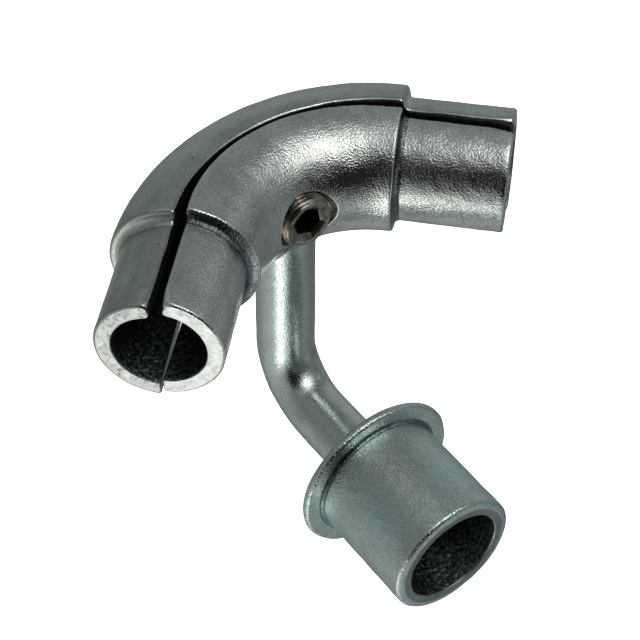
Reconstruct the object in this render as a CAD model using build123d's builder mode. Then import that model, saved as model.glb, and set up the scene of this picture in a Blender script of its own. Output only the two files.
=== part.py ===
"""Expanding 90-degree handrail connector on a bracket arm with a post spigot.

Two cast halves of a tube elbow carry a reduced spigot at each end, which goes inside a
handrail tube.  A set screw through the inner half pushes the outer half away, so that the
spigots grip the tubes.  An arm below the inner half carries the elbow on a flanged spigot,
which goes inside the post's socket.

Frame: origin at the centre of the flange's seating face, on the post spigot's axis.
The post spigot points along -Y, the elbow lies level above it in the plane Z = rail_height,
and the plane X = 0 is the plane of symmetry.
"""

import os
from math import cos, radians, sin, sqrt

from build123d import *

# ---------------------------------------------------------------- driving dimensions (mm)

# Handrail tube and the elbow that joins two of them.
rail_tube_diameter = 42.4
rail_tube_wall = 3.2
rail_clearance = 0.25
rail_spigot_length = 32.0
bend_radius = 52.0
elbow_bore = 25.4
shoulder_round = 0.8
shoulder_fillet = 1.6
rail_mouth_chamfer = 0.8

# Gap between the halves, at the middle of the bend and along the spigots.
kerf_middle = 0.9
kerf_end = 2.3
parting_round = 0.8

# Post tube and the flanged spigot that goes inside it.
post_tube_diameter = 48.3
post_tube_wall = 3.2
post_clearance = 0.65
post_spigot_length = 37.0
post_bore = 30.5
post_web = 3.0
post_root_fillet = 0.4
post_mouth_chamfer = 0.9
flange_diameter = 52.0
flange_thickness = 2.8
flange_round = 1.0

# Arm between the flange and the elbow.
rail_height = 76.5
arm_reach = 48.0
arm_inset = 10.2
arm_diameter = 18.0
arm_bend_radius = 18.5

# Set screw: pipe thread of nominal size 3/8, 19 threads to the inch.
thread_diameter = 16.66
thread_pitch = 25.4 / 19
thread_clearance = 0.08
screw_stand_out = 1.6
screw_face_chamfer = 0.95
hex_across_flats = 7.94
hex_depth = 8.0
hex_lead_in = 0.5
screw_hole_flare = 1.4
screw_hole_flare_depth = 2.6
screw_hole_flare_length = 4.5
screw_point_diameter = 11.0
screw_point_chamfer = 0.6
screw_seat_depth = 1.5
screw_seat_clearance = 0.15
thread_end_clearance = 0.3

# ---------------------------------------------------------------- sizes that follow

body_radius = rail_tube_diameter / 2
bore_radius = elbow_bore / 2
rail_spigot_radius = body_radius - rail_tube_wall - rail_clearance
post_spigot_radius = post_tube_diameter / 2 - post_tube_wall - post_clearance
thread_radius = thread_diameter / 2
screw_hole_radius = thread_radius + thread_clearance
screw_point_radius = screw_point_diameter / 2

centreline_y = arm_reach + arm_inset
bend_centre_y = centreline_y - bend_radius
half_bend = 45.0

# The screw goes from proud of the inside of the bend to a seat in the far wall.
inside_of_bend_y = centreline_y - body_radius
screw_face_y = inside_of_bend_y - screw_stand_out
seat_floor_y = centreline_y + bore_radius + screw_seat_depth
screw_point_y = seat_floor_y - screw_seat_clearance
far_wall_at_thread = sqrt(bore_radius**2 - thread_radius**2)
thread_end_y = centreline_y + far_wall_at_thread - thread_end_clearance
flare_start_y = inside_of_bend_y + screw_hole_flare_depth
flare_end_y = flare_start_y - screw_hole_flare_length
flare_end_radius = screw_hole_radius + screw_hole_flare
lead_in_radius = hex_across_flats / sqrt(3) + hex_lead_in

flange_back_y = flange_thickness
flange_radius = flange_diameter / 2
post_bore_radius = post_bore / 2
post_mouth_y = -post_spigot_length

bend_centre = (0, bend_centre_y, rail_height)
rail_plane = Plane.XY.offset(rail_height)
screw_plane = Plane(origin=(0, 0, rail_height), x_dir=(0, 1, 0), z_dir=(1, 0, 0))
screw_axis = Axis((0, 0, rail_height), (0, 1, 0))

# Cutting shapes run past the metal by overshoot.  An edge lies on a parting line if it is
# nearer to it than on_line_distance, and on the bore if it is no further out than off_bore.
overshoot = 1.0
cut_height = body_radius + overshoot
on_line_distance = 0.02
off_bore = 0.3


def bend_point(angle, radius):
    """A point in the rail plane at an angle from +X and a radius about the bend's centre."""
    return (radius * cos(radians(angle)), bend_centre_y + radius * sin(radians(angle)))


def bend_end(side):
    """Where the bend ends on one side, -1 for left and +1 for right, at the rail's height."""
    x, y = bend_point(90 - side * half_bend, bend_radius)
    return Vector(x, y, rail_height)


def spigot_direction(side):
    """The way a rail spigot points, at 45 degrees to the plane of symmetry."""
    return Vector(side * sin(radians(half_bend)), -cos(radians(half_bend)), 0)


def spigot_plane(side):
    """Sketch plane with X along a rail spigot and Y up."""
    along = spigot_direction(side)
    return Plane(origin=bend_end(side), x_dir=along, z_dir=along.cross(Vector(0, 0, 1)))


def section_plane():
    """Sketch plane across the bend at its right end: X points away from the bend's centre."""
    outward = bend_end(1) - Vector(*bend_centre)
    return Plane(origin=bend_centre, x_dir=outward, z_dir=outward.cross(Vector(0, 0, 1)))


def add_elbow_tube():
    """Add the whole elbow to the part in hand: solid bend, two stepped spigots, then the bore."""
    bend_axis = Axis(bend_centre, (0, 0, 1))
    with BuildSketch(section_plane()) as bend_section:
        with Locations((bend_radius, 0)):
            Circle(body_radius)
    revolve(bend_section.sketch, axis=bend_axis, revolution_arc=2 * half_bend)
    shoulder = shoulder_round
    mouth = shoulder + rail_spigot_length
    root = shoulder + shoulder_fillet
    for side in (-1, 1):
        with BuildSketch(spigot_plane(side)) as spigot_profile:
            with BuildLine():
                Line((0, 0), (0, body_radius))
                RadiusArc((0, body_radius), (shoulder, body_radius - shoulder_round), shoulder_round)
                Line(
                    (shoulder, body_radius - shoulder_round),
                    (shoulder, rail_spigot_radius + shoulder_fillet),
                )
                RadiusArc(
                    (shoulder, rail_spigot_radius + shoulder_fillet),
                    (root, rail_spigot_radius),
                    -shoulder_fillet,
                )
                Line((root, rail_spigot_radius), (mouth - rail_mouth_chamfer, rail_spigot_radius))
                Line(
                    (mouth - rail_mouth_chamfer, rail_spigot_radius),
                    (mouth, rail_spigot_radius - rail_mouth_chamfer),
                )
                Line((mouth, rail_spigot_radius - rail_mouth_chamfer), (mouth, 0))
                Line((mouth, 0), (0, 0))
            make_face()
        revolve(spigot_profile.sketch, axis=Axis(bend_end(side), spigot_direction(side)))
    with BuildSketch(section_plane()) as bore_section:
        with Locations((bend_radius, 0)):
            Circle(bore_radius)
    revolve(bore_section.sketch, axis=bend_axis, revolution_arc=2 * half_bend, mode=Mode.SUBTRACT)
    for side in (-1, 1):
        along = spigot_direction(side)
        with BuildSketch(Plane(origin=bend_end(side), z_dir=along)) as bore_end:
            Circle(bore_radius)
        extrude(bore_end.sketch, amount=mouth + overshoot, mode=Mode.SUBTRACT)


def parting_arc(offset_end, offset_middle):
    """Radius and centre Y of the arc that joins two parting lines tangentially.

    The lines run beside the spigots' axes at offset_end, and the arc passes the middle of the
    bend at offset_middle, both counted away from the bend's centre.
    """
    line_distance = bend_radius + offset_end
    middle_distance = bend_radius + offset_middle
    radius = (sqrt(2) * line_distance - middle_distance) / (sqrt(2) - 1)
    return radius, bend_centre_y + sqrt(2) * (line_distance - radius)


def keep_half(outward):
    """Keep one half of the elbow in hand: outward is +1 for the outer half, -1 for the inner."""
    radius, centre_y = parting_arc(outward * kerf_end / 2, outward * kerf_middle / 2)
    reach = rail_spigot_length + bend_radius
    beside = outward * rail_tube_diameter
    s = sin(radians(half_bend))
    arc_start = Vector(-radius * s, centre_y + radius * s)
    arc_end = Vector(radius * s, centre_y + radius * s)
    left_end = arc_start + Vector(-s, -s) * reach
    right_end = arc_end + Vector(s, -s) * reach
    left_beside = left_end + Vector(-s, s) * beside
    right_beside = right_end + Vector(s, s) * beside
    far_y = left_beside.Y - overshoot
    if outward > 0:
        far_y = centreline_y + beside + overshoot
    with BuildSketch(rail_plane) as half_region:
        with BuildLine():
            Line(left_end, arc_start)
            ThreePointArc(arc_start, (0, centre_y + radius), arc_end)
            Line(arc_end, right_end)
            Line(right_end, right_beside)
            Line(right_beside, (right_beside.X, far_y))
            Line((right_beside.X, far_y), (left_beside.X, far_y))
            Line((left_beside.X, far_y), left_beside)
            Line(left_beside, left_end)
        make_face()
    extrude(half_region.sketch, amount=cut_height, both=True, mode=Mode.INTERSECT)


def distance_from_parting(point, outward):
    """Distance in plan from a point to one half's parting line."""
    radius, centre_y = parting_arc(outward * kerf_end / 2, outward * kerf_middle / 2)
    across = abs(point.X)
    forward = point.Y - centre_y
    if forward >= across:
        return abs(sqrt(across**2 + forward**2) - radius)
    return abs((across + forward) * sin(radians(half_bend)) - radius)


def outer_parting_edges(half, outward):
    """The edges of a half's parting faces, but for those along its bore."""
    stations = (0, 0.25, 0.5, 0.75, 1)
    found = []
    for edge in half.edges():
        points = [edge @ at for at in stations]
        furthest_off = max(distance_from_parting(point, outward) for point in points)
        furthest_out = max(abs(point.Z - rail_height) for point in points)
        if furthest_off < on_line_distance and furthest_out > bore_radius + off_bore:
            found.append(edge)
    return found


def cut_screw_hole():
    """Cut the set screw's tapped hole, with its opened-out mouth, from the part in hand."""
    with BuildSketch(screw_plane) as hole_profile:
        Polygon(
            (flare_end_y, 0),
            (flare_end_y, flare_end_radius),
            (flare_start_y, screw_hole_radius),
            (centreline_y, screw_hole_radius),
            (centreline_y, 0),
            align=None,
        )
    revolve(hole_profile.sketch, axis=screw_axis, mode=Mode.SUBTRACT)


# ---------------------------------------------------------------- cast inner half

with BuildPart() as elbow_inner_half:
    add_elbow_tube()
    keep_half(-1)
    fillet(outer_parting_edges(elbow_inner_half, -1), parting_round)
    cut_screw_hole()

# ---------------------------------------------------------------- cast outer half

with BuildPart() as elbow_outer_half:
    add_elbow_tube()
    keep_half(1)
    fillet(outer_parting_edges(elbow_outer_half, 1), parting_round)
    # Drilled seat for the screw's point.
    with BuildSketch(Plane.XZ.offset(-centreline_y)) as seat:
        with Locations((0, rail_height)):
            Circle(screw_point_radius + screw_seat_clearance)
    extrude(seat.sketch, amount=centreline_y - seat_floor_y, mode=Mode.SUBTRACT)

# ---------------------------------------------------------------- set screw

with BuildPart() as set_screw:
    with BuildSketch(screw_plane) as screw_profile:
        Polygon(
            (screw_face_y, 0),
            (screw_face_y, thread_radius - screw_face_chamfer),
            (screw_face_y + screw_face_chamfer, thread_radius),
            (thread_end_y - screw_face_chamfer, thread_radius),
            (thread_end_y, thread_radius - screw_face_chamfer),
            (thread_end_y, screw_point_radius),
            (screw_point_y - screw_point_chamfer, screw_point_radius),
            (screw_point_y, screw_point_radius - screw_point_chamfer),
            (screw_point_y, 0),
            align=None,
        )
    revolve(screw_profile.sketch, axis=screw_axis)
    with BuildSketch(Plane.XZ.offset(-screw_face_y)) as hex_socket:
        with Locations((0, rail_height)):
            RegularPolygon(hex_across_flats / 2, 6, major_radius=False)
    extrude(hex_socket.sketch, amount=-hex_depth, mode=Mode.SUBTRACT)
    with BuildSketch(screw_plane) as lead_in_profile:
        Polygon(
            (screw_face_y, 0),
            (screw_face_y, lead_in_radius),
            (screw_face_y + lead_in_radius, 0),
            align=None,
        )
    revolve(lead_in_profile.sketch, axis=screw_axis, mode=Mode.SUBTRACT)

# ---------------------------------------------------------------- bracket arm

with BuildPart() as bracket_arm:
    with BuildLine() as arm_path:
        FilletPolyline(
            (0, flange_back_y, 0),
            (0, arm_reach, 0),
            (0, arm_reach, rail_height),
            radius=arm_bend_radius,
        )
    with BuildSketch(Plane.XZ.offset(-flange_back_y)) as arm_section:
        Circle(arm_diameter / 2)
    sweep(arm_section.sketch, path=arm_path.line)
    # The top is cut to fit round the underside of the elbow, and clears the screw's hole.
    with Locations(bend_centre):
        Torus(bend_radius, body_radius, mode=Mode.SUBTRACT)
    cut_screw_hole()

# ---------------------------------------------------------------- flanged post spigot

with BuildPart() as post_spigot:
    with BuildSketch(Plane.YZ) as post_profile:
        with BuildLine():
            Line((flange_back_y, 0), (flange_back_y, flange_radius - flange_round))
            RadiusArc(
                (flange_back_y, flange_radius - flange_round),
                (flange_back_y - flange_round, flange_radius),
                -flange_round,
            )
            Line((flange_back_y - flange_round, flange_radius), (flange_round, flange_radius))
            RadiusArc((flange_round, flange_radius), (0, flange_radius - flange_round), -flange_round)
            Line((0, flange_radius - flange_round), (0, post_spigot_radius + post_root_fillet))
            RadiusArc(
                (0, post_spigot_radius + post_root_fillet),
                (-post_root_fillet, post_spigot_radius),
                post_root_fillet,
            )
            Line(
                (-post_root_fillet, post_spigot_radius),
                (post_mouth_y + post_mouth_chamfer, post_spigot_radius),
            )
            Line(
                (post_mouth_y + post_mouth_chamfer, post_spigot_radius),
                (post_mouth_y, post_spigot_radius - post_mouth_chamfer),
            )
            Line(
                (post_mouth_y, post_spigot_radius - post_mouth_chamfer),
                (post_mouth_y, post_bore_radius),
            )
            Line((post_mouth_y, post_bore_radius), (-post_web, post_bore_radius))
            Line((-post_web, post_bore_radius), (-post_web, 0))
            Line((-post_web, 0), (flange_back_y, 0))
        make_face()
    revolve(post_profile.sketch, axis=Axis.Y)

# ---------------------------------------------------------------- one STEP file for each piece

pieces = {
    "elbow_inner_half": elbow_inner_half,
    "elbow_outer_half": elbow_outer_half,
    "set_screw": set_screw,
    "bracket_arm": bracket_arm,
    "post_spigot": post_spigot,
}
os.makedirs("parts", exist_ok=True)
for label, piece in pieces.items():
    piece.part.label = label
    export_step(piece.part, f"parts/{label}.step")
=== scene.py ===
import math

import bmesh
import bpy
import numpy as np
from mathutils import Matrix, Vector


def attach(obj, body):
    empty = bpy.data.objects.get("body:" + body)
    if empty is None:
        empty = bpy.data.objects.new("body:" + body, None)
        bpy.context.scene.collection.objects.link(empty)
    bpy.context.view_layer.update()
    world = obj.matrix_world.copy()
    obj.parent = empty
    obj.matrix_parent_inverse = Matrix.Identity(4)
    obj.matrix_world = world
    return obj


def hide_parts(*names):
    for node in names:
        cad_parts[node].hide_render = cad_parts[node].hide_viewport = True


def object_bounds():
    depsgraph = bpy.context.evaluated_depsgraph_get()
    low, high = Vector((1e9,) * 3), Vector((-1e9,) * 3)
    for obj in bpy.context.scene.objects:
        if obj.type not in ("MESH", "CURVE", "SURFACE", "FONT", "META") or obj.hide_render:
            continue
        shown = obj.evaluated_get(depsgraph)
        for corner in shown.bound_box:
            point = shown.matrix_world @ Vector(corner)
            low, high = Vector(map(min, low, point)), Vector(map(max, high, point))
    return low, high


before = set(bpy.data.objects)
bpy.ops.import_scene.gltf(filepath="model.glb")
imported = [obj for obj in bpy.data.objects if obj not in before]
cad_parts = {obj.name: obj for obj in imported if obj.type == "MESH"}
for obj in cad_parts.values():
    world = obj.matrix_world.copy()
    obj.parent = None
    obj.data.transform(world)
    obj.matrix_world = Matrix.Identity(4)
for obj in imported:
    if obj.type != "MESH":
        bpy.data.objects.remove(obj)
cad_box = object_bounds()

# ------------------------------------------------------------------ camera
# A long lens looks down at the connector from the left of its post spigot, so that the
# inside of the bend, one rail mouth and the post mouth all show.
box_middle = (cad_box[0] + cad_box[1]) / 2
lens_data = bpy.data.cameras.new("camera")
lens_data.lens = 110.0
lens_data.sensor_width = 36.0
camera = bpy.data.objects.new("camera", lens_data)
bpy.context.scene.collection.objects.link(camera)
right = Vector((0.8135, -0.5815, 0.0068)).normalized()
back = Vector((-0.4019, -0.5537, 0.7293)).normalized()
up = back.cross(right).normalized()
right = up.cross(back)
stand = box_middle + Vector((-0.23054, -0.30863, 0.42408))
camera.matrix_world = Matrix(
    (
        (right.x, up.x, back.x, stand.x),
        (right.y, up.y, back.y, stand.y),
        (right.z, up.z, back.z, stand.z),
        (0, 0, 0, 1),
    )
)
bpy.context.scene.camera = camera
bpy.context.scene.view_settings.view_transform = "Standard"

# ------------------------------------------------------------------ inner half of the elbow
# Sand casting on the inside of the bend, zinc plated over its cast skin.  Its two reduced
# ends go inside the rail tubes, and their faces are ground flat.  The set screw's hole is
# drilled and tapped through the middle of it.
bend_radius = 52.0
body_radius = 21.2
spigot_radius = 17.75
bore_radius = 12.7
spigot_length = 32.8
rail_height = 76.5
bend_centre_y = 6.2
kerf_middle = 0.9
kerf_end = 2.3
kerf_lean_left = 1.0
kerf_lean_right = 0.2
kerf_lean_power = 1.2
mouth_round = 0.9
mouth_inner_round = 0.35
mouth_blend = 7.0
hole_radius = 8.41
hole_edge_round = 0.4
flare_widening = 1.4
flare_start_y = 39.6
flare_length = 4.5
least_flare = 0.06
cut_out_turn = math.radians(23)
cut_out_height = math.radians(50)
# Numbers of the materials of a half, in the order of its list.
skin_zone, ground_zone, bore_zone, upper_kerf_zone, root_zone, lower_kerf_zone = range(6)


def along_elbow(s):
    """Centreline point and outward direction at path length s, in plan, in millimetres.

    s is nought at the middle of the bend.  The path is an arc of the bend radius for an
    eighth of a turn each way, then a straight line along the tangent.
    """
    turn = np.clip(s / bend_radius, -math.pi / 4, math.pi / 4)
    beyond = s - turn * bend_radius
    x = bend_radius * np.sin(turn) + beyond * np.cos(turn)
    y = bend_centre_y + bend_radius * np.cos(turn) - beyond * np.sin(turn)
    return np.stack([x, y], -1), np.stack([np.sin(turn), np.cos(turn)], -1)


def half_gap(s, outward):
    """Distance from the centreline to one half's parting line at path length s.

    The parting line is an arc through the middle of the bend that meets the straight lines
    beside the spigots tangentially; a ray from the bend's centre meets whichever is there.
    """
    line = bend_radius + outward * kerf_end / 2
    middle = bend_radius + outward * kerf_middle / 2
    radius = (math.sqrt(2) * line - middle) / (math.sqrt(2) - 1)
    centre = math.sqrt(2) * (line - radius)
    turn = np.clip(s / bend_radius, -math.pi / 4, math.pi / 4)
    on_arc = centre * np.cos(turn) + np.sqrt(radius**2 - (centre * np.sin(turn)) ** 2)
    on_line = line / np.cos(math.pi / 4 - np.abs(turn))
    past = np.abs(on_arc * np.sin(turn)) > radius * math.sin(math.pi / 4)
    return outward * (np.where(past, on_line, on_arc) - bend_radius)


def waves(points, size, seed):
    """Smooth unevenness, mostly between -1 and 1: twelve sine waves in random directions, summed."""
    rng = np.random.default_rng(seed)
    total = np.zeros(len(points))
    for _ in range(12):
        direction = rng.normal(size=3)
        direction /= np.linalg.norm(direction)
        length = size * rng.uniform(0.7, 1.5)
        total += np.sin(points @ direction * 2 * math.pi / length + rng.uniform(0, 2 * math.pi))
    return total / 4


def ring_quads(number):
    """Faces between each row of point numbers and the next, with the rows closed round."""
    here, onward = number[:-1], number[1:]
    return np.stack([here, np.roll(here, -1, 1), np.roll(onward, -1, 1), onward], -1)


merge_distance = 2e-6
sharp_angle = math.radians(48)


def make_piece(name, points, quads, zones, materials):
    """A mesh object from points in millimetres, with doubles merged and normals outwards.

    quads is an array of four point numbers a face, and zones the material number of each.
    Edges sharper than the sharp angle aren't smoothed.
    """
    mesh = bpy.data.meshes.new(name)
    mesh.from_pydata((points * 0.001).tolist(), [], quads.tolist())
    mesh.polygons.foreach_set("material_index", zones.astype(np.int32))
    for material in materials:
        mesh.materials.append(material)
    work = bmesh.new()
    work.from_mesh(mesh)
    bmesh.ops.remove_doubles(work, verts=work.verts, dist=merge_distance)
    bmesh.ops.dissolve_degenerate(work, edges=work.edges, dist=1e-7)
    bmesh.ops.recalc_face_normals(work, faces=work.faces)
    work.to_mesh(mesh)
    work.free()
    mesh.polygons.foreach_set("use_smooth", np.ones(len(mesh.polygons), bool))
    mesh.set_sharp_from_angle(angle=sharp_angle)
    mesh.update()
    piece = bpy.data.objects.new(name, mesh)
    bpy.context.scene.collection.objects.link(piece)
    return piece


def roughen(piece, parts, still=()):
    """Move each point along its normal by a sum of waves.

    parts is a list of (depth, size, seed), depth and size in millimetres.  Points on faces
    whose material number is in `still` keep their places.
    """
    mesh = piece.data
    co = np.zeros(len(mesh.vertices) * 3)
    mesh.vertices.foreach_get("co", co)
    co = co.reshape(-1, 3)
    normal = np.zeros(len(mesh.vertices) * 3)
    mesh.vertices.foreach_get("normal", normal)
    normal = normal.reshape(-1, 3)
    move = np.zeros(len(co))
    for depth, size, seed in parts:
        move += depth * waves(co * 1000, size, seed)
    faces = len(mesh.polygons)
    zone, corners = np.zeros(faces, np.int32), np.zeros(faces, np.int32)
    mesh.polygons.foreach_get("material_index", zone)
    mesh.polygons.foreach_get("loop_total", corners)
    corner_point = np.zeros(len(mesh.loops), np.int32)
    mesh.loops.foreach_get("vertex_index", corner_point)
    move[corner_point[np.repeat(np.isin(zone, still), corners)]] = 0
    co += normal * (move * 0.001)[:, None]
    mesh.vertices.foreach_set("co", co.ravel())
    mesh.update()


bend_rows, spigot_rows = 78, 33


def elbow_stations(corner, shoulder_round, shoulder_fillet):
    """Each station's path length and radius on the outer skin, path length in the bore, and inset.

    One side is worked out from the middle of the bend to the mouth and then mirrored: even
    steps round the bend, the shoulder's quarter round, its face, its quarter fillet, even
    steps along the spigot, and the mouth's quarter round, where the inset goes from 0 to 1
    as 1 minus the cosine of the turn.
    """
    bend_end = bend_radius * math.pi / 4
    quarter = np.linspace(0, math.pi / 2, 9)
    mouth_quarter = quarter[2::2]
    mouth_rows = len(mouth_quarter)
    s = [np.linspace(0, bend_end, bend_rows)]
    r = [np.full(bend_rows, body_radius)]
    s.append(bend_end + shoulder_round * np.sin(quarter[1:]))
    r.append(body_radius - shoulder_round * (1 - np.cos(quarter[1:])))
    root = bend_end + shoulder_round
    s.append(root + shoulder_fillet * (1 - np.cos(quarter)))
    r.append(spigot_radius + shoulder_fillet * (1 - np.sin(quarter)))
    straight_from = root + shoulder_fillet
    mouth = bend_end + spigot_length
    s.append(np.linspace(straight_from, mouth - corner, spigot_rows + 1)[1:])
    r.append(np.full(spigot_rows, spigot_radius))
    s.append(mouth - corner + corner * np.sin(mouth_quarter))
    r.append(np.full(mouth_rows, spigot_radius))
    s, r = np.concatenate(s), np.concatenate(r)
    count = len(s)
    inset = np.zeros(count)
    inset[-mouth_rows:] = 1 - np.cos(mouth_quarter)
    inner = s.copy()
    even_rows = slice(bend_rows - 1, count - mouth_rows)
    inner[even_rows] = np.linspace(bend_end, mouth - corner, count - mouth_rows - bend_rows + 1)
    s = np.concatenate([-s[:0:-1], s])
    r = np.concatenate([r[:0:-1], r])
    inner = np.concatenate([-inner[:0:-1], inner])
    inset = np.concatenate([inset[:0:-1], inset])
    return s, r, inner, inset


arc_steps, corner_steps, face_steps = 104, 8, 3


def half_section(
    top_gap, low_gap, outer, bore, top_round, low_round, bore_round, low_bore_round
):
    """One closed loop for each station: parting face, round corner, outer arc, and so back.

    u is the distance from the centreline towards the half's own side and w the height.  A
    corner of radius c that touches the parting face u = gap and the arc of radius a from
    within has its centre at u = gap + c, at the distance a - c from the axis (a + c at the
    bore).  The loop starts and ends at the middle of the upper parting face, and its
    second half answers the first point for point, so point i and point -i face each other.
    """
    def corner(gap, radius, c, sign):
        u = gap + c
        w = np.sqrt((radius - sign * c) ** 2 - u**2)
        return u, w, np.arctan2(w, u)

    def arc(cu, cw, c, start, end, steps):
        t = np.linspace(0, 1, steps + 1)[None, :]
        angle = start[:, None] + (end - start)[:, None] * t
        u = cu[:, None] + c[:, None] * np.cos(angle)
        w = cw[:, None] + c[:, None] * np.sin(angle)
        return np.stack([u, w], -1)

    def line(gap, w0, w1, steps):
        t = np.linspace(0, 1, steps + 1)[None, :]
        w = w0[:, None] + (w1 - w0)[:, None] * t
        return np.stack([np.broadcast_to(gap[:, None], w.shape), w], -1)

    half_turn = np.full_like(top_gap, math.pi)
    zero = np.zeros_like(top_gap)
    tu, tw, ta = corner(top_gap, outer, top_round, 1)
    lu, lw, la = corner(low_gap, outer, low_round, 1)
    bu, bw, ba = corner(top_gap, bore, bore_round, -1)
    cu, cw, ca = corner(low_gap, bore, low_bore_round, -1)
    top_middle, low_middle = (tw + bw) / 2, (lw + cw) / 2
    runs = [
        line(top_gap, top_middle, tw, face_steps),
        arc(tu, tw, top_round, half_turn, ta, corner_steps),
        arc(zero, zero, outer, ta, -la, arc_steps),
        arc(lu, -lw, low_round, -la, -half_turn, corner_steps),
        line(low_gap, -lw, -low_middle, face_steps),
        line(low_gap, -low_middle, -cw, face_steps),
        arc(cu, -cw, low_bore_round, half_turn, half_turn - ca, corner_steps),
        arc(zero, zero, bore, -ca, ba, arc_steps),
        arc(bu, bw, bore_round, half_turn + ba, half_turn, corner_steps),
        line(top_gap, bw, top_middle, face_steps),
    ]
    return np.concatenate([run[:, :-1] for run in runs], 1)


def elbow_half(name, outward, corners, shoulder, with_hole, materials):
    """One half of the elbow: its section loop swept along the path, closed at both mouths.

    corners are the radii of the kerf's upper edge at the middle and at the mouths, of its
    lower edge, of the bore's edges, and of the bore's upper edge at the mouths.  shoulder
    is its round and its fillet.  The gap is a little narrower below the centreline than
    above it, mostly towards the left mouth.  Where there is a hole, the faces round it are
    left out of the sweep, and its rings join the two borders.
    """
    top_round, top_mouth_round, low_round, bore_round, bore_mouth_round = corners
    s_outer, radius, s_inner, inset = elbow_stations(mouth_round, *shoulder)
    rows = len(s_outer)
    ones = np.ones(rows)
    near_mouth = np.clip(1 - (s_outer[-1] - np.abs(s_outer)) / mouth_blend, 0, 1) ** 2
    gap = half_gap(s_outer, outward) + mouth_inner_round * inset
    lean = np.where(s_outer < 0, kerf_lean_left, kerf_lean_right)
    loop = half_section(
        gap,
        gap - lean * np.abs(s_outer / s_outer[-1]) ** kerf_lean_power,
        radius - mouth_round * inset,
        bore_radius + mouth_inner_round * inset,
        top_round + (top_mouth_round - top_round) * near_mouth,
        low_round * ones,
        bore_round + (bore_mouth_round - bore_round) * near_mouth,
        bore_round * ones,
    )
    # share is 0 on the outer skin and 1 in the bore, and runs evenly over the parting faces.
    count = loop.shape[1]
    half = count // 2
    share = np.zeros(count)
    face = np.linspace(0, 0.5, face_steps + 1)
    share[:face_steps] = 0.5 - face[:-1]
    share[half - face_steps : half] = face[1:]
    share[half : half + face_steps + 1] = 0.5 + face
    share[half + face_steps : count - face_steps] = 1
    share[count - face_steps :] = 1 - face[:-1]
    path = s_outer[:, None] * (1 - share) + s_inner[:, None] * share
    centre, out = along_elbow(path)
    side = outward * loop[..., 0]
    plan = centre + out * side[..., None]
    points = np.concatenate([plan, (rail_height + loop[..., 1])[..., None]], -1)

    number = np.arange(rows * count).reshape(rows, count)
    keep = np.ones((rows - 1, count), bool)
    start_of_outer = face_steps + corner_steps
    # The kerf's faces, painted shade on the upper ones, and the bore's finish both reach a few rows into
    # the corner beside them.
    into_corner = 3
    face_reach, bore_reach = face_steps + into_corner, start_of_outer - into_corner
    zone_of = np.full(count, skin_zone)
    zone_of[half + bore_reach : count - bore_reach] = bore_zone
    zone_of[:face_reach] = upper_kerf_zone
    zone_of[half - face_reach : half + face_reach] = lower_kerf_zone
    zone_of[count - face_reach :] = upper_kerf_zone
    extra_points, extra_quads, extra_zones = [], [], []
    if with_hole:
        span = np.arange(start_of_outer, start_of_outer + arc_steps + 1)
        angle = np.arctan2(loop[rows // 2, span, 1], loop[rows // 2, span, 0])
        i0 = span[np.argmin(np.abs(angle - cut_out_height))]
        i1 = span[np.argmin(np.abs(angle + cut_out_height))]
        turn = s_outer / bend_radius
        j0 = int(np.argmin(np.abs(turn + cut_out_turn)))
        j1 = int(np.argmin(np.abs(turn - cut_out_turn)))
        keep[j0:j1, i0:i1] = False
        keep[j0:j1, count - i1 : count - i0] = False
        tall, wide = i1 - i0, j1 - j0
        j = np.concatenate(
            [np.full(tall, j0), np.arange(j0, j1), np.full(tall, j1), np.arange(j1, j0, -1)]
        )
        i = np.concatenate(
            [np.arange(i0, i1), np.full(wide, i1), np.arange(i1, i0, -1), np.full(wide, i0)]
        )
        rings, zone_list = screw_hole_rings(
            turn[j],
            np.arctan2(loop[j, i, 1], loop[j, i, 0]),
            np.arctan2(loop[j, count - i, 1], loop[j, count - i, 0]),
        )
        around = len(j)
        ring_numbers = rows * count + np.arange(len(rings) * around).reshape(len(rings), around)
        chain = np.concatenate([number[j, i][None], ring_numbers, number[j, count - i][None]])
        extra_points.append(np.concatenate(rings))
        extra_quads.append(ring_quads(chain).reshape(-1, 4))
        extra_zones.append(np.repeat(zone_list, around))
    zones = np.tile(zone_of, (rows - 1, 1))
    # On the inner half the shoulder fillet's rows take a near-black copy of the zinc, which is painted
    # shade.
    beyond = (np.abs(s_outer[:-1]) + np.abs(s_outer[1:])) / 2 - bend_radius * math.pi / 4
    in_root = (beyond > shoulder[0] * 0.9) & (beyond < sum(shoulder))
    zones[np.ix_(in_root, np.flatnonzero(zone_of == skin_zone))] = root_zone
    all_points = [points.reshape(-1, 3)] + extra_points
    all_quads = [ring_quads(number)[keep]] + extra_quads
    all_zones = [zones[keep]] + extra_zones

    # Each mouth: the last loop drawn in, ring by ring, to the curve midway through the wall.
    middle_radius = (spigot_radius + bore_radius) / 2
    base = sum(len(p) for p in all_points)
    mirrored = (-np.arange(count)) % count
    for end in (0, rows - 1):
        rim = loop[end]
        angle = np.arctan2(rim[:, 1], rim[:, 0])
        angle = (angle + angle[mirrored]) / 2
        limit = math.acos((gap[end] + (spigot_radius - bore_radius) / 2) / middle_radius)
        angle = np.clip(angle, -limit, limit)
        middle = middle_radius * np.stack([np.cos(angle), np.sin(angle)], -1)
        centre, out = along_elbow(np.full(count, s_outer[end]))
        previous = number[end]
        for share_in in (0.12, 0.4, 0.7, 1.0):
            flat = rim + (middle - rim) * share_in
            plan = centre + out * (outward * flat[:, 0])[:, None]
            all_points.append(np.concatenate([plan, (rail_height + flat[:, 1])[:, None]], -1))
            now = base + np.arange(count)
            base += count
            all_quads.append(ring_quads(np.stack([previous, now]))[0])
            all_zones.append(np.full(count, ground_zone))
            previous = now
    return make_piece(name, *map(np.concatenate, (all_points, all_quads, all_zones)), materials)


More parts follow.
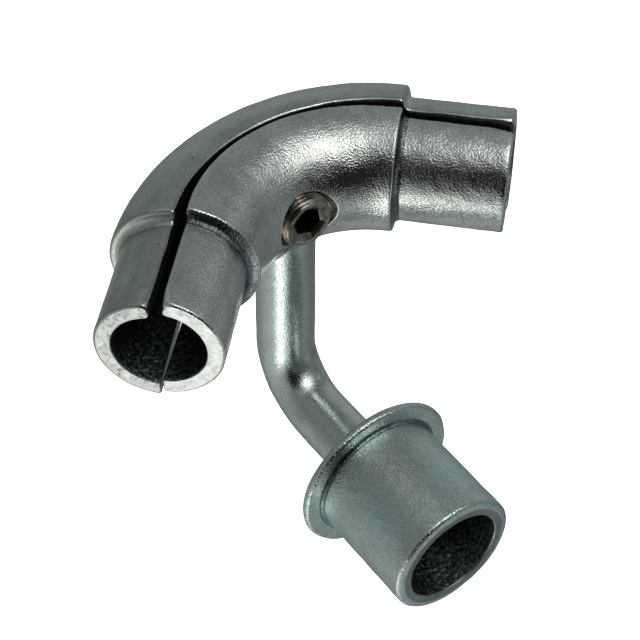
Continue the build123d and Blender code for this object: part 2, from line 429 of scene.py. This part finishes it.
def skin_y(x, z, tube):
    """Y of the skin of radius `tube` on the inside of the bend, at x and at height z off the axis."""
    across = bend_radius - np.sqrt(np.maximum(tube**2 - z**2, 0))
    return bend_centre_y + np.sqrt(across**2 - x**2)


def screw_hole_rings(turn, outer_angle, bore_angle):
    """Rings of points from the cut-out in the outer skin down the hole to the one in the bore.

    A point on either skin has its turn about the bend and its angle about the tube.  The
    rings go straight in those two, closing up, from the cut-out's border to the hole's
    edge, which is where the flare's cone meets the skin, then round the edge, down the cone
    and the tapped hole, and out over the bore's skin.
    """
    near = bend_radius - body_radius
    column = np.arctan2(outer_angle * body_radius, turn * near)
    cx, cz = np.cos(column), np.sin(column)

    def on_skin(t, angle, tube):
        across = bend_radius - tube * np.cos(angle)
        y, z = bend_centre_y + across * np.cos(t), rail_height + tube * np.sin(angle)
        return np.stack([across * np.sin(t), y, z], -1)

    def skin_place(r, tube):
        angle = np.arcsin(r * cz / tube)
        return np.arcsin(r * cx / (bend_radius - tube * np.cos(angle))), angle

    def down_hole(r, y):
        return np.stack([r * cx, y, rail_height + r * cz], -1)

    # The rim's radius and the skin's place there depend on each other, so they are repeated
    # until they settle.
    rim = np.full_like(column, hole_radius + 0.8)
    for _ in range(30):
        depth = flare_start_y - skin_y(rim * cx, rim * cz, body_radius)
        rim = hole_radius + np.maximum(flare_widening * depth / flare_length, least_flare)
    rings, zones = [], [skin_zone]
    t1, a1 = skin_place(rim + hole_edge_round, body_radius)
    for f in 1 - (1 - np.linspace(0, 1, 15)[1:]) ** 1.5:
        angle = outer_angle + (a1 - outer_angle) * f
        rings.append(on_skin(turn + (t1 - turn) * f, angle, body_radius))
        zones.append(skin_zone)
    edge_radius = rim + hole_edge_round
    edge_y = skin_y(edge_radius * cx, edge_radius * cz, body_radius)
    for q in np.linspace(0, math.pi / 2, 6)[1:]:
        r = rim + hole_edge_round * (1 - math.sin(q))
        rings.append(down_hole(r, edge_y + hole_edge_round * (1 - math.cos(q))))
        zones.append(skin_zone)
    wall_y = skin_y(hole_radius * cx, hole_radius * cz, bore_radius)
    cone_end = np.maximum(edge_y + hole_edge_round + 0.1, flare_start_y)
    for f in (0.35, 0.7, 1.0):
        y = edge_y + hole_edge_round + (cone_end - edge_y - hole_edge_round) * f
        rings.append(down_hole(rim + (hole_radius - rim) * f, y))
        zones.append(ground_zone)
    for f in (0.2, 0.4, 0.6, 0.8, 1.0):
        rings.append(down_hole(hole_radius, cone_end + (wall_y - cone_end) * f))
        zones.append(bore_zone)
    t0, a0 = skin_place(np.full_like(column, hole_radius), bore_radius)
    for f in (0.2, 0.4, 0.6, 0.8):
        rings.append(on_skin(t0 + (turn - t0) * f, a0 + (bore_angle - a0) * f, bore_radius))
        zones.append(bore_zone)
    return rings, np.array(zones)


def shader(name):
    """A new material with its node tree emptied but for a principled shader and its output."""
    material = bpy.data.materials.new(name)
    material.use_nodes = True
    tree = material.node_tree
    tree.nodes.clear()
    out = tree.nodes.new("ShaderNodeOutputMaterial")
    body = tree.nodes.new("ShaderNodeBsdfPrincipled")
    tree.links.new(body.outputs["BSDF"], out.inputs["Surface"])
    return material, tree, body


def noise(tree, scale, detail, rough=0.5):
    """A noise texture on the object's own coordinates; scale is in cells a metre."""
    place = tree.nodes.new("ShaderNodeTexCoord")
    texture = tree.nodes.new("ShaderNodeTexNoise")
    texture.inputs["Scale"].default_value = scale
    texture.inputs["Detail"].default_value = detail
    texture.inputs["Roughness"].default_value = rough
    tree.links.new(place.outputs["Object"], texture.inputs["Vector"])
    return texture.outputs["Fac"]


def ramp(tree, value, stops):
    """A colour ramp on a value; stops are (position, colour) pairs."""
    node = tree.nodes.new("ShaderNodeValToRGB")
    elements = node.color_ramp.elements
    while len(elements) < len(stops):
        elements.new(0.5)
    for element, (position, colour) in zip(elements, stops):
        element.position = position
        element.color = (*colour, 1)
    tree.links.new(value, node.inputs["Fac"])
    return node.outputs["Color"]


def scaled(tree, value, low, high):
    """A noise's middle range, a quarter to three quarters, carried to low and high."""
    node = tree.nodes.new("ShaderNodeMapRange")
    node.inputs["From Min"].default_value = 0.25
    node.inputs["From Max"].default_value = 0.75
    node.inputs["To Min"].default_value = low
    node.inputs["To Max"].default_value = high
    tree.links.new(value, node.inputs["Value"])
    return node.outputs["Result"]


def bumps(tree, body, layers):
    """Chained bump nodes; each layer is (height value, depth in metres)."""
    before = None
    for height, depth in layers:
        node = tree.nodes.new("ShaderNodeBump")
        node.inputs["Strength"].default_value = 1.0
        node.inputs["Distance"].default_value = depth
        tree.links.new(height, node.inputs["Height"])
        if before is not None:
            tree.links.new(before, node.inputs["Normal"])
        before = node.outputs["Normal"]
    tree.links.new(before, body.inputs["Normal"])


def mixed(tree, mode, factor, a, b):
    """Two colours mixed; factor is a number or a socket, a and b are colours or sockets."""
    node = tree.nodes.new("ShaderNodeMix")
    node.data_type = "RGBA"
    node.blend_type = mode
    for socket, value in ((node.inputs[0], factor), (node.inputs[6], a), (node.inputs[7], b)):
        if isinstance(value, (int, float)):
            socket.default_value = value
        elif isinstance(value, tuple):
            socket.default_value = (*value, 1)
        else:
            tree.links.new(value, socket)
    return node.outputs[2]


def zinc_skin(name, peel_depth, grain, rough, dark, light, specks):
    """Zinc plate over a rough skin: soft pits under 1 mm across, dark in their hollows, and stains.

    rough is the roughness's range, dark and light are the tint from cloud to cloud, which in the
    near-black fillet copies is painted shade, and specks, where it isn't nought, is how readily rust
    shows through.
    """
    material, tree, body = shader(name)
    body.inputs["Metallic"].default_value = 1.0
    tint = ramp(tree, noise(tree, 55, 3), [(0.35, dark), (0.65, light)])
    grime = ramp(tree, noise(tree, 420, 4, 0.6), [(0.3, (0.80, 0.80, 0.79)), (0.62, (1, 1, 1))])
    colour = mixed(tree, "MULTIPLY", 0.6, tint, grime)
    peel = noise(tree, 1800, 2, 0.5)
    hollow_stops = [(0.36, (0.50, 0.49, 0.48)), (0.50, (0.92, 0.92, 0.92)), (0.66, (1.0, 1.0, 1.0))]
    hollows = ramp(tree, peel, hollow_stops)
    colour = mixed(tree, "MULTIPLY", grain, colour, hollows)
    if specks > 0:
        spot_stops = [(0.80 - specks, (0, 0, 0)), (0.83 - specks, (1, 1, 1))]
        spots = ramp(tree, noise(tree, 330, 1), spot_stops)
        colour = mixed(tree, "MIX", spots, colour, (0.16, 0.07, 0.03))
    tree.links.new(colour, body.inputs["Base Color"])
    tree.links.new(scaled(tree, noise(tree, 160, 3), rough[0], rough[1]), body.inputs["Roughness"])
    bumps(tree, body, [(peel, peel_depth), (noise(tree, 5200, 2), 0.00001)])
    return material


def ground_face(name, dark, light):
    """A face ground flat before plating: pale, matt, with short grinding marks and a few pits."""
    material, tree, body = shader(name)
    body.inputs["Metallic"].default_value = 1.0
    colour = ramp(tree, noise(tree, 700, 4, 0.6), [(0.3, dark), (0.5, light)])
    tree.links.new(colour, body.inputs["Base Color"])
    tree.links.new(scaled(tree, noise(tree, 400, 3), 0.42, 0.6), body.inputs["Roughness"])
    bumps(tree, body, [(noise(tree, 1500, 3, 0.6), 0.00007), (noise(tree, 300, 2), 0.00012)])
    return material


def cored_bore(name):
    """The cored passage: rough as the sand left it, thinly plated, dark with bright grains."""
    material, tree, body = shader(name)
    body.inputs["Metallic"].default_value = 1.0
    grain_stops = [(0.40, (0.045, 0.06, 0.065)), (0.66, (0.40, 0.46, 0.46))]
    colour = ramp(tree, noise(tree, 900, 4, 0.7), grain_stops)
    tree.links.new(colour, body.inputs["Base Color"])
    tree.links.new(scaled(tree, noise(tree, 600, 3), 0.2, 0.5), body.inputs["Roughness"])
    bumps(tree, body, [(noise(tree, 700, 2, 0.5), 0.0004), (noise(tree, 2000, 3, 0.6), 0.00025)])
    return material


def parting_face(name, dark, light):
    """The faces of the kerf: dull, brown-grey, out of reach of polishing. The near-black copy on the
    upper faces is painted shade, the shadow in the gap between the halves.
    """
    material, tree, body = shader(name)
    body.inputs["Metallic"].default_value = 1.0
    colour = ramp(tree, noise(tree, 600, 4, 0.6), [(0.3, dark), (0.7, light)])
    tree.links.new(colour, body.inputs["Base Color"])
    tree.links.new(scaled(tree, noise(tree, 500, 3), 0.4, 0.55), body.inputs["Roughness"])
    bumps(tree, body, [(noise(tree, 1200, 3, 0.6), 0.0002)])
    return material


inner_skin = zinc_skin(
    "zinc_cast_inner", 0.00016, 0.5, (0.05, 0.11), (0.60, 0.63, 0.61), (0.81, 0.845, 0.825), 0.0
)
ground = ground_face("zinc_ground_face", (0.60, 0.63, 0.61), (0.92, 0.94, 0.92))
bore_finish = cored_bore("zinc_cored_bore")
# Painted shade: the upper kerf faces are near black, as if in shadow between the halves.
upper_kerf_painted_shade = parting_face("parting_face_above_painted_shade", (0.04, 0.045, 0.04), (0.16, 0.165, 0.15))
lower_kerf_faces = parting_face("parting_face_below", (0.34, 0.34, 0.32), (0.62, 0.63, 0.60))
# Painted shade: the inner half's shoulder fillets are near black, a dark reflection painted into the
# colour.
inner_fillet_painted_shade = zinc_skin(
    "zinc_inner_fillet_painted_shade", 0.00022, 1.0, (0.05, 0.12), (0.03, 0.035, 0.04), (0.38, 0.43, 0.46), 0.0
)
# The bore and the parting faces aren't roughened, so the halves keep clear of each other.
kept_true = (bore_zone, upper_kerf_zone, lower_kerf_zone)
inner_corners, inner_shoulder = (0.9, 2.6, 1.1, 0.5, 1.3), (0.8, 2.0)
inner_materials = [inner_skin, ground, bore_finish, upper_kerf_painted_shade, inner_fillet_painted_shade, lower_kerf_faces]
inner_half = elbow_half("inner_half_casting", -1, inner_corners, inner_shoulder, True, inner_materials)
roughen(inner_half, [(0.05, 9.0, 3), (0.03, 4.0, 4)], still=kept_true)
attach(inner_half, "bracket")
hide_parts("elbow_inner_half")

# ------------------------------------------------------------------ outer half of the elbow
# The other casting, on the outside of the bend.  It is dressed smoother than the inner half,
# and shows a few rust specks where the plate is thin.
outer_skin = zinc_skin(
    "zinc_cast_outer", 0.00008, 0.35, (0.12, 0.22), (0.44, 0.47, 0.44), (0.54, 0.60, 0.60), 0.04
)
outer_ground = ground_face("zinc_ground_outer", (0.30, 0.32, 0.30), (0.78, 0.80, 0.77))
outer_root = zinc_skin(
    "zinc_outer_root", 0.00012, 0.5, (0.30, 0.45), (0.50, 0.52, 0.47), (0.80, 0.82, 0.76), 0.0
)
outer_corners, outer_shoulder = (0.9, 2.4, 0.7, 0.5, 1.4), (1.1, 2.0)
outer_materials = [outer_skin, outer_ground, bore_finish, upper_kerf_painted_shade, outer_root, lower_kerf_faces]
outer_half = elbow_half("outer_half_casting", 1, outer_corners, outer_shoulder, False, outer_materials)
roughen(outer_half, [(0.05, 11.0, 7), (0.02, 4.0, 8)], still=kept_true)
# It hangs loose on the screw's point, so it lies a little twisted and swung about that point.
screw_seat = Vector((0, 0.0722, 0.0765))
hang_twist, hang_swing = math.radians(-1.6), math.radians(-0.6)
hang = Matrix.Rotation(hang_twist, 4, "Y") @ Matrix.Rotation(hang_swing, 4, "Z")
outer_half.data.transform(Matrix.Translation(screw_seat) @ hang @ Matrix.Translation(-screw_seat))
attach(outer_half, "outer_half")
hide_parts("elbow_outer_half")

# ------------------------------------------------------------------ set screw
# Headless steel screw with a pipe thread, blackened and rubbed, left unplated.  Its face is
# dished round a hexagon socket, and it turns in the inner half's tapped hole.
screw_face_y = 35.4
thread_radius = 8.33
thread_pitch = 25.4 / 19
thread_depth = 0.78
thread_end_y = 67.5
screw_point_y = 72.25
point_radius = 5.5
point_chamfer = 0.6
hex_flat = 7.94
hex_depth = 8.0
hex_turn = 0.35
socket_cone = 1.6
dish_radius = 6.75
dish_depth = 1.25
face_radius = 6.95
face_edge_radius, face_edge_depth = 7.25, 0.03
thread_start = 0.25
lead_radius, tail_radius = 7.42, 7.3
lead_share_at_start = 0.12
crest_flat = 0.12
fine_to_depth, fine_steps, coarse_steps = 9.0, 16, 8


def screw_surface(around):
    """Rings of the screw: the socket's floor, its walls, the dished face, the thread, the point.

    Each row gives a radius and a depth for every angle.  The socket's radius is half the
    width across flats over the cosine of the angle from the nearest flat's middle, and the
    dish's depth falls with a power of what is left of the way to its edge.  The thread's
    radius falls below its crest by a triangle wave, flattened top and bottom, of the depth
    over the pitch minus the turn, which makes it a helix.  The turn goes from +X towards
    +Z, so the helix is left-handed.  The crest itself rises from the lead radius over the
    first millimetre and falls to the tail radius over the last.
    """
    angle = np.arange(around) * 2 * math.pi / around
    flat = np.mod(angle + hex_turn, math.pi / 3) - math.pi / 6
    hexagon = hex_flat / 2 / np.cos(flat)
    ones = np.ones(around)
    rows = [(0.0 * ones, (hex_depth + socket_cone) * ones)]
    rows.append((hexagon * 0.9, (hex_depth + 0.1) * ones))
    for y in (hex_depth, 6.0, 4.0, 2.5, 1.6):
        rows.append((hexagon, y * ones))
    socket_bands = len(rows) - 1
    corner_rise = 0.6 + 0.4 * (dish_radius - hexagon) / (dish_radius - hex_flat / 2)
    for share in np.linspace(0, 1, 9):
        radius = hexagon + (dish_radius - hexagon) * share
        rows.append((radius, dish_depth * (1 - share) ** 1.5 * corner_rise))
    rows.append((face_radius * ones, 0.0 * ones))
    rows.append((face_edge_radius * ones, face_edge_depth * ones))
    end = thread_end_y - screw_face_y
    fine = np.arange(thread_start, fine_to_depth, thread_pitch / fine_steps)
    coarse = np.arange(fine_to_depth, end, thread_pitch / coarse_steps)
    for y in np.concatenate([fine, coarse, [end]]):
        phase = y / thread_pitch - angle / (2 * math.pi)
        wave = np.abs(2 * (phase - np.floor(phase)) - 1)
        groove = thread_depth * np.clip((wave - crest_flat) / (1 - 2 * crest_flat), 0, 1)
        lead = np.minimum(1.0, y - thread_start + lead_share_at_start)
        tail = np.clip(end - y, 0, 1)
        crest = np.minimum(
            lead_radius + (thread_radius - lead_radius) * lead,
            tail_radius + (thread_radius - tail_radius) * tail,
        )
        rows.append((np.minimum(crest, thread_radius - groove), y * ones))
    rows.append((point_radius * ones, end * ones))
    tip = screw_point_y - screw_face_y
    rows.append((point_radius * ones, (tip - point_chamfer) * ones))
    rows.append(((point_radius - point_chamfer) * ones, tip * ones))
    rows.append((0.0 * ones, tip * ones))
    radius = np.array([row[0] for row in rows])
    depth = np.array([row[1] for row in rows])
    height = rail_height + radius * np.sin(angle)
    points = np.stack([radius * np.cos(angle), screw_face_y + depth, height], -1)
    quads = ring_quads(np.arange(radius.size).reshape(radius.shape))
    zones = np.zeros(quads.shape[:2], int)
    # The socket's rows get near-black steel: the screw's blackening, darkened further by painted shade
    # in the recess.
    zones[:socket_bands] = 1
    return points.reshape(-1, 3), quads.reshape(-1, 4), zones.ravel()


def screw_steel(name, dark, light, rough):
    """Brown-black steel rubbed bright where a key and a hand have touched it."""
    material, tree, body = shader(name)
    body.inputs["Metallic"].default_value = 1.0
    colour = ramp(tree, noise(tree, 260, 4, 0.6), [(0.32, dark), (0.66, light)])
    tree.links.new(colour, body.inputs["Base Color"])
    tree.links.new(scaled(tree, noise(tree, 500, 3), rough[0], rough[1]), body.inputs["Roughness"])
    bumps(tree, body, [(noise(tree, 900, 3, 0.6), 0.00004)])
    return material


rubbed_steel = screw_steel(
    "screw_steel_rubbed", (0.12, 0.10, 0.08), (0.44, 0.40, 0.35), (0.16, 0.30)
)
# The socket's walls and floor are blackened steel, darkened further with painted shade inside the
# recess.
socket_black_and_shade = screw_steel(
    "screw_steel_socket_black_and_shade", (0.01, 0.008, 0.006), (0.05, 0.04, 0.03), (0.4, 0.6)
)
screw = make_piece("socket_set_screw", *screw_surface(144), [rubbed_steel, socket_black_and_shade])
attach(screw, "screw")
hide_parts("set_screw")

# ------------------------------------------------------------------ bracket arm
# Round steel bar bent once through a right angle, zinc plated with the rest.  Its upper end
# is shaped to the underside of the elbow, and both ends run out into a small fillet of weld.
arm_radius = 9.0
arm_reach = 48.0
arm_bend = 18.5
flange_back_y = 2.8
arm_top_fillet = 1.5
arm_root_fillet = 1.6
root_sunk = 0.3
arm_plain_to_z = 50.0
arm_cap_z = 58.0
hole_keep_clear = 9.6
hole_ends_y = 41.0
weld_from_y, weld_to_y, weld_fade = 39.5, 57.4, 3.0
thin_weld = 0.2


def arm_surface(around):
    """Rings of the arm: a circle swept along a line, a quarter bend and a line, ends flared.

    Near the flange the radius grows by a quarter fillet.  Near the top, the last rings
    climb to the elbow's skin straight above each point, less a gap that shrinks to nothing
    along a quarter fillet while the radius grows.  That fillet thins towards the screw's
    hole and towards the outer half.
    """
    angle = np.arange(around) * 2 * math.pi / around
    side, along = np.sin(angle), np.cos(angle)
    straight = arm_reach - arm_bend
    rows = []

    def ring(y, z, lean, radius):
        """A circle at a point of the path: lean is the angle that the arm has turned upwards."""
        return np.stack(
            [radius * side, y - radius * along * math.sin(lean), z + radius * along * math.cos(lean)], -1
        )

    for q in np.linspace(math.pi / 2, 0, 8):
        grow = arm_root_fillet * (1 - math.cos(q))
        y = flange_back_y - root_sunk + (arm_root_fillet + root_sunk) * (1 - math.sin(q))
        rows.append(ring(y, 0, 0, arm_radius + grow))
    for y in np.linspace(flange_back_y + arm_root_fillet, straight, 40)[1:]:
        rows.append(ring(y, 0, 0, arm_radius))
    for lean in np.linspace(0, math.pi / 2, 50)[1:]:
        y, z = straight + arm_bend * math.sin(lean), arm_bend * (1 - math.cos(lean))
        rows.append(ring(y, z, lean, arm_radius))
    for z in np.linspace(arm_bend, arm_plain_to_z, 50)[1:]:
        rows.append(ring(arm_reach, z, math.pi / 2, arm_radius))

    def skin_z(x, y):
        """Height of the elbow's underside above a point in plan, with the screw's hole clear."""
        out = np.hypot(x, y - bend_centre_y) - bend_radius
        z = rail_height - np.sqrt(np.maximum(body_radius**2 - out**2, 0))
        hole = rail_height - np.sqrt(np.maximum(hole_keep_clear**2 - x**2, 0))
        return np.where(y < hole_ends_y, np.minimum(z, hole), z)

    def upright(radius, z):
        return np.stack([radius * side, arm_reach - radius * along, z * np.ones(around)], -1)

    base = upright(arm_radius, 0.0)
    fade = np.clip((base[:, 1] - weld_from_y) / weld_fade, 0, 1)
    fade = fade * np.clip((weld_to_y - base[:, 1]) / weld_fade, 0, 1)
    fillet = arm_top_fillet * (thin_weld + (1 - thin_weld) * fade)
    top = skin_z(base[:, 0], base[:, 1])
    for f in np.linspace(0, 1, 16)[1:]:
        rows.append(upright(arm_radius, arm_plain_to_z + (top - fillet - arm_plain_to_z) * f))
    for q in np.linspace(0, math.pi / 2, 8)[1:]:
        radius = arm_radius + fillet * (1 - math.cos(q))
        at = upright(radius, 0.0)
        rows.append(upright(radius, skin_z(at[:, 0], at[:, 1]) - fillet * (1 - math.sin(q))))
    # The end tucks in under the elbow's skin and closes there, and the start closes in the flange.
    radius = arm_radius + fillet
    at = upright(radius, 0.0)
    rows.append(upright(radius - 0.2, skin_z(at[:, 0], at[:, 1]) + 0.5))
    rows.append(upright(0.0, arm_cap_z))
    rows.insert(0, ring(flange_back_y - root_sunk, 0, 0, 0.0))
    points = np.array(rows)
    quads = ring_quads(np.arange(points.shape[0] * around).reshape(-1, around))
    return points.reshape(-1, 3), quads.reshape(-1, 4)


arm_points, arm_quads = arm_surface(120)
arm_skin = zinc_skin(
    "zinc_bar", 0.00011, 0.3, (0.10, 0.20), (0.55, 0.62, 0.61), (0.68, 0.76, 0.745), 0.0
)
arm = make_piece("bent_arm", arm_points, arm_quads, np.zeros(len(arm_quads)), [arm_skin])
roughen(arm, [(0.05, 16.0, 11), (0.015, 5.0, 12)])
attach(arm, "bracket")
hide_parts("bracket_arm")

# ------------------------------------------------------------------ flanged post spigot
# Casting in one piece with its thin round flange, welded or cast to the arm.  The post's
# socket goes over the hollow spigot and stops at the flange.
flange_radius = 26.0
flange_thickness = 2.8
post_radius = 20.3
post_length = 37.0
post_bore = 15.25
post_web = 3.0
web_round = 1.5
post_columns = 200
rim_round, root_round, lip_round = 1.15, 1.2, 0.5
mouth_round_along, mouth_round_across = 1.3, 2.5


def turned(profile, around):
    """A profile of (distance along -Y, radius), with its ends on the Y axis, turned about it."""
    profile = np.array(profile)
    angle = np.arange(around) * 2 * math.pi / around
    y = np.broadcast_to(-profile[:, :1], (len(profile), around))
    points = np.stack([profile[:, 1:] * np.sin(angle), y, profile[:, 1:] * np.cos(angle)], -1)
    quads = ring_quads(np.arange(len(profile) * around).reshape(-1, around))
    return points.reshape(-1, 3), quads.reshape(-1, 4)


def quarter_turn(centre, radius, start, end, steps):
    """Points of an arc in the profile's plane, from one angle to another, in degrees."""
    turn = np.radians(np.linspace(start, end, steps + 1))
    return [(centre[0] + radius * math.cos(t), centre[1] + radius * math.sin(t)) for t in turn]


def straight_run(start, end, steps):
    """Points between two points, without the ends."""
    share = np.linspace(0, 1, steps + 1)[1:-1]
    return [(start[0] + (end[0] - start[0]) * f, start[1] + (end[1] - start[1]) * f) for f in share]


# The profile goes from the arm's side of the flange round its rim and down its face, along the
# spigot, round the mouth and back along the bore to the web.
arm_side, rim_centre = -flange_thickness, flange_radius - rim_round
mouth_start, mouth_inset = post_length - mouth_round_along, post_radius - mouth_round_across
post_profile = [(arm_side, 0.0)]
post_profile += straight_run((arm_side, 0.0), (arm_side, rim_centre), 12)
post_profile += quarter_turn((arm_side + rim_round, rim_centre), rim_round, 180, 90, 8)
post_profile += quarter_turn((-rim_round, rim_centre), rim_round, 90, 0, 8)
root_from = len(post_profile)
post_profile += quarter_turn((root_round, post_radius + root_round), root_round, 180, 270, 8)
root_to = len(post_profile) - 1
post_profile += straight_run((root_round, post_radius), (mouth_start, post_radius), 44)
post_profile += [
    (mouth_start + mouth_round_along * math.cos(t), mouth_inset + mouth_round_across * math.sin(t))
    for t in np.radians(np.linspace(90, 0, 13))
]
mouth_from = len(post_profile) - 1
post_profile += straight_run((post_length, mouth_inset), (post_length, post_bore + lip_round), 5)
post_profile += quarter_turn((post_length - lip_round, post_bore + lip_round), lip_round, 0, -90, 6)
bore_from = len(post_profile) - 1
post_profile += straight_run((post_length - lip_round, post_bore), (post_web + web_round, post_bore), 40)
post_profile += quarter_turn((post_web + web_round, post_bore - web_round), web_round, 90, 180, 6)
post_profile += straight_run((post_web, post_bore - web_round), (post_web, 0.0), 8)
post_profile += [(post_web, 0.0)]
post_points, post_quads = turned(post_profile, post_columns)
post_zones = np.zeros((len(post_profile) - 1, post_columns), int)
post_zones[mouth_from:bore_from] = 1
post_zones[bore_from:] = 2
# The root fillet's rows take a near-black copy of the zinc, which is painted shade in the corner.
post_zones[root_from:root_to] = 3
post_skin = zinc_skin(
    "zinc_cast_post", 0.00022, 0.35, (0.05, 0.12), (0.60, 0.67, 0.61), (0.63, 0.78, 0.80), 0.0
)
post_face = zinc_skin(
    "zinc_post_mouth", 0.00012, 0.5, (0.16, 0.28), (0.26, 0.31, 0.31), (0.40, 0.46, 0.46), 0.0
)
# Painted shade: the fillet at the flange's root is near black, as if in the corner's shadow.
post_fillet_painted_shade = zinc_skin(
    "zinc_post_fillet_painted_shade", 0.00022, 1.0, (0.05, 0.12), (0.06, 0.075, 0.08), (0.40, 0.52, 0.55), 0.0
)
post_materials = [post_skin, post_face, bore_finish, post_fillet_painted_shade]
post = make_piece("flanged_post_spigot", post_points, post_quads, post_zones.ravel(), post_materials)
roughen(post, [(0.06, 10.0, 21), (0.03, 4.0, 22)])
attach(post, "bracket")
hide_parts("post_spigot")

# ------------------------------------------------------------------ floor and lights
# A pale plain sheet well below the connector, evenly lit from above.  The metal mirrors the
# room: a large soft box above and in front, paper lit from the left below, and dim walls with
# a little clutter.
floor_drop = 0.10
floor_reach = 2.5
floor_z = cad_box[0].z - floor_drop
floor_mesh = bpy.data.meshes.new("floor")
floor_corners = [(-1, -1), (1, -1), (1, 1), (-1, 1)]
floor_points = [(x * floor_reach, y * floor_reach, floor_z) for x, y in floor_corners]
floor_mesh.from_pydata(floor_points, [], [(0, 1, 2, 3)])
floor = bpy.data.objects.new("floor", floor_mesh)
bpy.context.scene.collection.objects.link(floor)
floor_paint, _, floor_body = shader("floor_paper")
floor_body.inputs["Base Color"].default_value = (0.95, 0.95, 0.95, 1)
floor_body.inputs["Roughness"].default_value = 0.9
floor_mesh.materials.append(floor_paint)
floor.visible_glossy = False

# The lamp over the sheet lights it evenly, and the metal doesn't mirror the lamp itself.
lamp_height = 1.4
lamp_side = 2.0
lamp_watts = 60
floor_lamp_data = bpy.data.lights.new("floor_lamp", "AREA")
floor_lamp_data.shape = "SQUARE"
floor_lamp_data.size = lamp_side
floor_lamp_data.energy = lamp_watts
floor_lamp = bpy.data.objects.new("floor_lamp", floor_lamp_data)
bpy.context.scene.collection.objects.link(floor_lamp)
floor_lamp.location = box_middle + Vector((0, 0, lamp_height))
floor_lamp.visible_glossy = False

# Each patch of the room is (direction, brightness, tightness).  Where the brightness is
# negative, the patch dims the ones that it overlaps.
room_patches = [
    ((0.00, -0.61, 0.79), 3.06, 10.2),
    ((-0.56, -0.52, -0.65), 0.80, 30.0),
    ((-0.71, -0.33, -0.62), 0.62, 1.9),
    ((-0.13, -0.68, 0.72), -1.50, 11.1),
    ((-0.32, 0.50, 0.80), 0.21, 9.6),
    ((0.95, -0.05, 0.30), 0.89, 8.1),
    ((0.55, 0.83, 0.12), 0.26, 3.6),
    ((0.95, -0.06, 0.32), -0.90, 11.4),
    ((0.35, -0.86, -0.38), 0.34, 13.3),
    ((-0.31, -0.91, 0.26), -1.15, 7.3),
    ((-0.04, 0.58, 0.81), 0.29, 30.0),
]
# Small bare lamps, written the same way, that strike sparks off the cast skin.
room_lamps = [
    ((0.10, -0.50, 0.86), 4.5, 160.0),
    ((-0.60, -0.40, -0.69), 3.0, 120.0),
    ((0.90, -0.15, 0.40), 0.8, 160.0),
]
room_base_light = 0.054
dark_limit = 0.02
clutter_scale, clutter_detail = 7.0, 3.0
clutter_swing, clutter_offset = 2.4, -0.2
room_tints = [(0.03, (1.0, 0.84, 0.72)), (0.18, (0.90, 1.0, 1.0)), (1.0, (1.0, 1.0, 0.96))]
world = bpy.data.worlds.new("room")
bpy.context.scene.world = world
world.use_nodes = True
room = world.node_tree
room_light = room.nodes["Background"]
outward_look = room.nodes.new("ShaderNodeTexCoord").outputs["Generated"]


def room_math(kind, a, b, c=None):
    """One arithmetic node of the room, on sockets or numbers."""
    step = room.nodes.new("ShaderNodeMath")
    step.operation = kind
    for socket, value in zip(step.inputs, (a, b, c)):
        if isinstance(value, (int, float)):
            socket.default_value = value
        elif value is not None:
            room.links.new(value, socket)
    return step.outputs[0]


# A patch's light falls off as e to the power of tightness times (cosine of the angle - 1).
light_sum = room_base_light
for direction, brightness, tightness in room_patches + room_lamps:
    toward = Vector(direction).normalized()
    cosine = room.nodes.new("ShaderNodeVectorMath")
    cosine.operation = "DOT_PRODUCT"
    room.links.new(outward_look, cosine.inputs[0])
    cosine.inputs[1].default_value = toward
    power = room_math("MULTIPLY_ADD", cosine.outputs["Value"], tightness, -tightness)
    patch = room_math("EXPONENT", power, 0.0)
    light_sum = room_math("MULTIPLY_ADD", patch, brightness, light_sum)
# Clutter scales the sum up and down, and the sum's own strength picks the light's tint.
clutter = room.nodes.new("ShaderNodeTexNoise")
clutter.inputs["Scale"].default_value = clutter_scale
clutter.inputs["Detail"].default_value = clutter_detail
room.links.new(outward_look, clutter.inputs["Vector"])
unevenness = room_math("MULTIPLY_ADD", clutter.outputs["Fac"], clutter_swing, clutter_offset)
broken = room_math("MULTIPLY", light_sum, unevenness)
room.links.new(room_math("MAXIMUM", broken, dark_limit), room_light.inputs["Strength"])
room.links.new(ramp(room, light_sum, room_tints), room_light.inputs["Color"])
